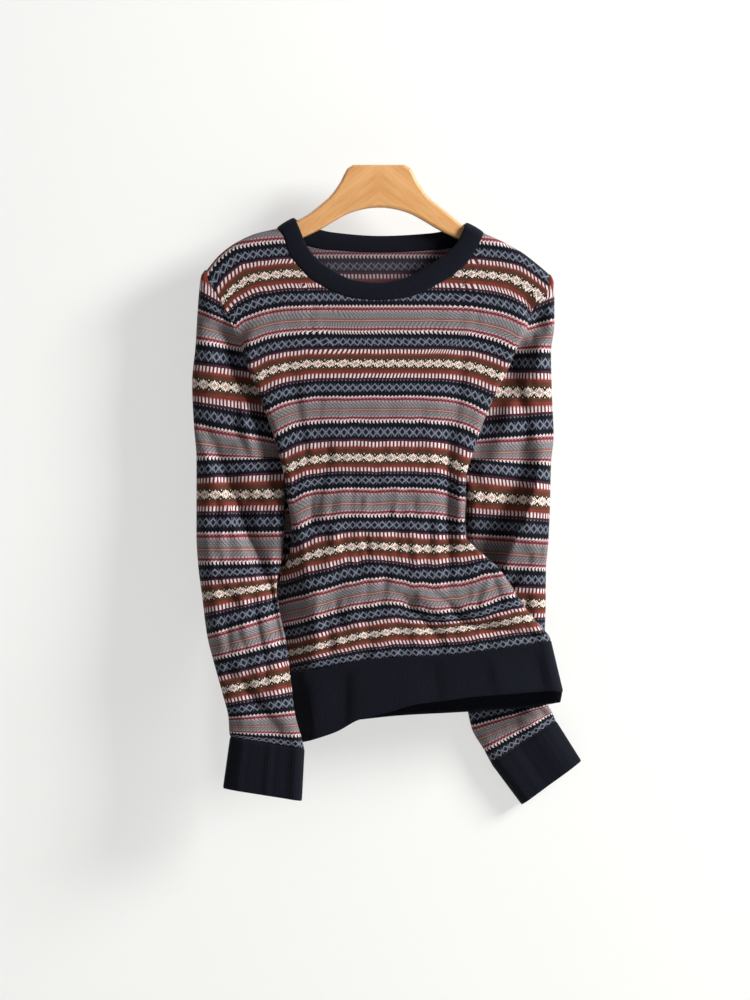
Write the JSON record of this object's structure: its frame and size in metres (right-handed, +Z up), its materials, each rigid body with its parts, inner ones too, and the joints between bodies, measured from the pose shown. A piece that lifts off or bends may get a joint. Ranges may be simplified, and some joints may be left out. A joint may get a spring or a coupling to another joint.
{
  "type": "fair isle jumper on a wooden hanger",
  "caption": "Long-sleeved fine-knit wool jumper with a charted stripe pattern, ribbed crew neck, cuffs and hem, hanging on a flat beech hanger.",
  "frame": {"origin": "middle of the hanger's flat top edge, where it is held", "axes": "+X to the right as seen from the front, -Y towards the viewer, +Z up"},
  "size_m": [0.4458, 0.1058, 0.7326],
  "materials": {
    "patterned_wool": "fine knit",
    "navy_wool": "fine rib knit",
    "beech": "satin lacquer"
  },
  "bodies": {
    "root": {"hanger": "beech", "front": "patterned_wool", "back": "patterned_wool", "right_sleeve": "patterned_wool", "left_sleeve": "patterned_wool", "right_cuff": "navy_wool", "left_cuff": "navy_wool", "hem_rib": "navy_wool", "neckband": "navy_wool"}
  },
  "joints": []
}
